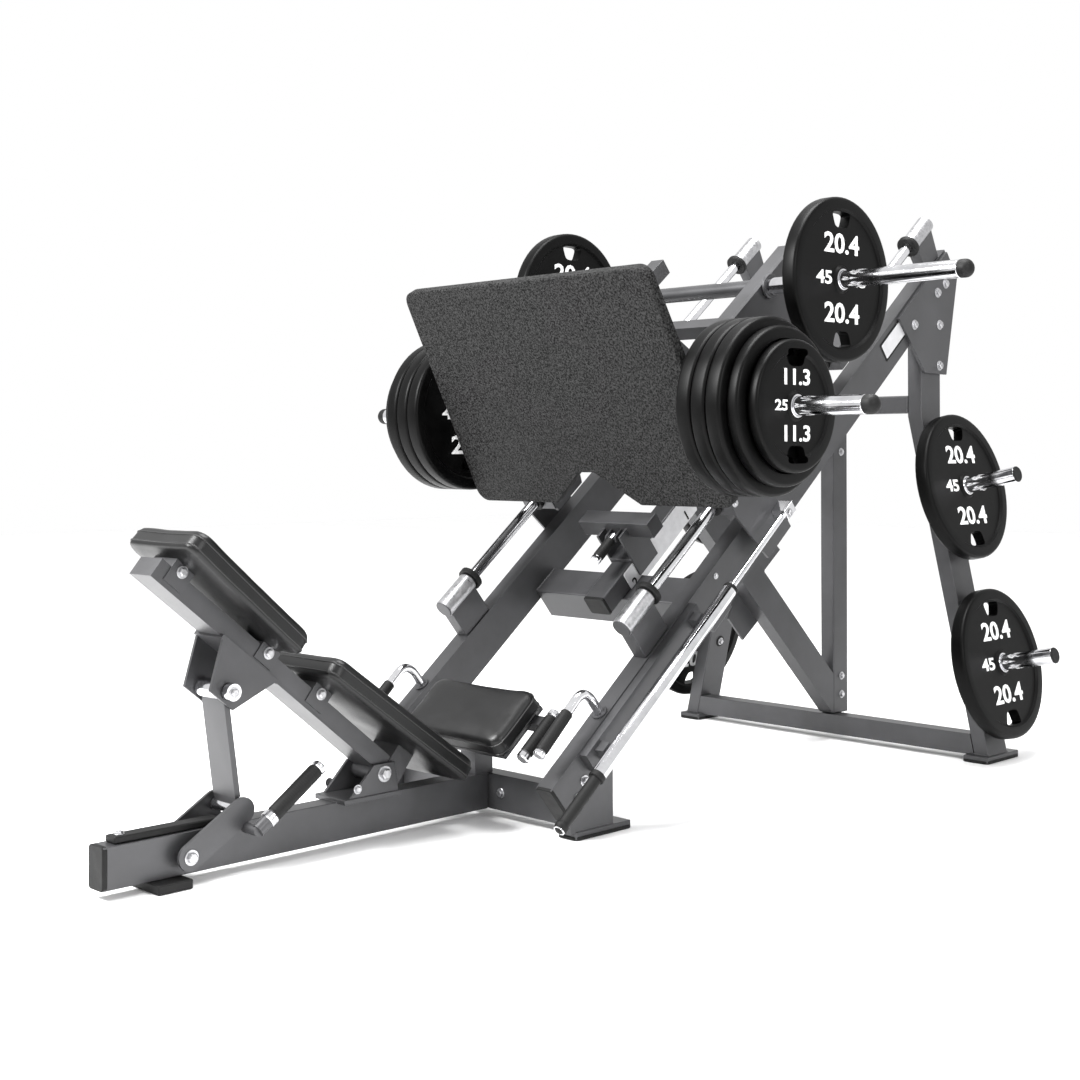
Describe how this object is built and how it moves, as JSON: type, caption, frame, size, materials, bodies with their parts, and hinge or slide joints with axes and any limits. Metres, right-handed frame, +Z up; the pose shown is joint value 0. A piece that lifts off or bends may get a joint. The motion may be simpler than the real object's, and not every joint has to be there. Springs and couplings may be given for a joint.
{
  "type": "leg press machine",
  "caption": "Plate-loaded linear leg press: foot sled on two inclined guide rods over a welded steel frame, with seat, tilting backrest, weight horns and plate storage.",
  "frame": {"origin": "on the floor, under the middle of the machine's box", "axes": "+X from the head of the backrest to the tower, +Y to the user's left as they lie looking at the tower, +Z up"},
  "size_m": [2.88, 1.84, 1.6666],
  "materials": {
    "frame": "satin grey metallic powder coat",
    "chrome": "polished chrome plate",
    "rubber": "moulded black rubber",
    "upholstery": "black grained vinyl over foam",
    "foot_plate": "black grit coating",
    "weight_plate": "black urethane over iron"
  },
  "bodies": {
    "frame": {"base_beam": "frame", "bumper_left": "rubber", "bumper_right": "rubber", "damper_cylinder": "chrome", "front_crossbeam": "frame", "front_post_left": "frame", "front_post_right": "frame", "guide_rod_left": "chrome", "guide_rod_right": "chrome", "hand_grip_left": "chrome", "hand_grip_right": "chrome", "main_beam": "frame", "mid_crossmember": "frame", "rail_left": "frame", "rail_right": "frame", "rear_foot": "rubber", "rod_bracket_lower_left": "frame", "rod_bracket_lower_right": "frame", "rod_bracket_upper_left": "frame", "rod_bracket_upper_right": "frame", "seat_frame": "frame", "seat_pad": "upholstery", "stop_tube": "frame", "storage_horn_lower_left": "chrome", "storage_horn_lower_right": "chrome", "storage_horn_upper_left": "chrome", "storage_horn_upper_right": "chrome", "tower_brace": "frame", "tower_crossbeam": "frame", "tower_leg_left": "frame", "tower_leg_right": "frame", "tower_post": "frame", "wear_strip": "rubber"},
    "sled": {"damper_rod": "chrome", "platform": "foot_plate", "sled_frame": "frame", "sled_horn_lower_left": "chrome", "sled_horn_lower_right": "chrome", "sled_horn_upper_left": "chrome", "sled_horn_upper_right": "chrome", "sled_side_left": "frame", "sled_side_right": "frame"},
    "backrest": {"back_frame": "frame", "back_pad_lower": "upholstery", "back_pad_upper": "upholstery"},
    "strut": {"strut": "chrome"},
    "crank": {"crank_left": "frame", "crank_right": "frame"},
    "stop_saddle": {"stop_saddle": "frame"},
    "stop_handle": {"stop_handle": "rubber"},
    "outer_plate_left": {"outer_plate_left": "weight_plate"},
    "outer_plate_right": {"outer_plate_right": "weight_plate"},
    "plate_stack_left": {"plate_stack_left": "weight_plate"},
    "plate_stack_right": {"plate_stack_right": "weight_plate"},
    "storage_plate_lower_left": {"storage_plate_lower_left": "weight_plate"},
    "storage_plate_lower_right": {"storage_plate_lower_right": "weight_plate"},
    "storage_plate_upper_left": {"storage_plate_upper_left": "weight_plate"},
    "storage_plate_upper_right": {"storage_plate_upper_right": "weight_plate"},
    "upper_plate_left": {"upper_plate_left": "weight_plate"},
    "upper_plate_right": {"upper_plate_right": "weight_plate"}
  },
  "joints": [
    {"name": "sled_slide", "type": "slide", "parent": "frame", "child": "sled", "axis": [0.7749, 0, 0.632], "range_m": [-0.28, 0.3]},
    {"name": "crank_turn", "type": "hinge", "parent": "frame", "child": "crank", "pos_m": [-1.25, 0, 0.064], "axis": [0, 1, 0], "range_deg": [-109, 0]},
    {"name": "back_tilt", "type": "hinge", "parent": "frame", "child": "backrest", "pos_m": [-0.72, 0, 0.165], "axis": [0, 1, 0], "range_deg": [-6.55, 0]},
    {"name": "strut_swing", "type": "hinge", "parent": "backrest", "child": "strut", "pos_m": [-1.157, 0, 0.407], "axis": [0, 1, 0], "range_deg": [0, 58.01]},
    {"name": "saddle_slide", "type": "slide", "parent": "frame", "child": "stop_saddle", "axis": [0.7749, 0, 0.632], "range_m": [0, 0.28]},
    {"name": "handle_lift", "type": "hinge", "parent": "stop_saddle", "child": "stop_handle", "pos_m": [0.16872, 0, 0.72188], "axis": [0, 1, 0], "range_deg": [0, 25]},
    {"name": "storage_plate_upper_left_off", "type": "slide", "parent": "frame", "child": "storage_plate_upper_left", "axis": [0, 0.9763, 0.2164], "range_m": [0, 0.205]},
    {"name": "storage_plate_lower_left_off", "type": "slide", "parent": "frame", "child": "storage_plate_lower_left", "axis": [0, 0.9763, 0.2164], "range_m": [0, 0.205]},
    {"name": "upper_plate_left_off", "type": "slide", "parent": "sled", "child": "upper_plate_left", "axis": [0, 1, 0], "range_m": [0, 0.4]},
    {"name": "plate_stack_left_off", "type": "slide", "parent": "sled", "child": "plate_stack_left", "axis": [0, 1, 0], "range_m": [0, 0.22]},
    {"name": "outer_plate_left_off", "type": "slide", "parent": "plate_stack_left", "child": "outer_plate_left", "axis": [0, 1, 0], "range_m": [0, 0.22]},
    {"name": "storage_plate_upper_right_off", "type": "slide", "parent": "frame", "child": "storage_plate_upper_right", "axis": [0, -0.9763, 0.2164], "range_m": [0, 0.205]},
    {"name": "storage_plate_lower_right_off", "type": "slide", "parent": "frame", "child": "storage_plate_lower_right", "axis": [0, -0.9763, 0.2164], "range_m": [0, 0.205]},
    {"name": "upper_plate_right_off", "type": "slide", "parent": "sled", "child": "upper_plate_right", "axis": [0, -1, 0], "range_m": [0, 0.4]},
    {"name": "plate_stack_right_off", "type": "slide", "parent": "sled", "child": "plate_stack_right", "axis": [0, -1, 0], "range_m": [0, 0.22]},
    {"name": "outer_plate_right_off", "type": "slide", "parent": "plate_stack_right", "child": "outer_plate_right", "axis": [0, -1, 0], "range_m": [0, 0.22]}
  ],
  "couplings": [
    {"joint": "back_tilt", "follows": "crank_turn", "ratio": 0.06},
    {"joint": "strut_swing", "follows": "crank_turn", "ratio": -0.53174}
  ]
}
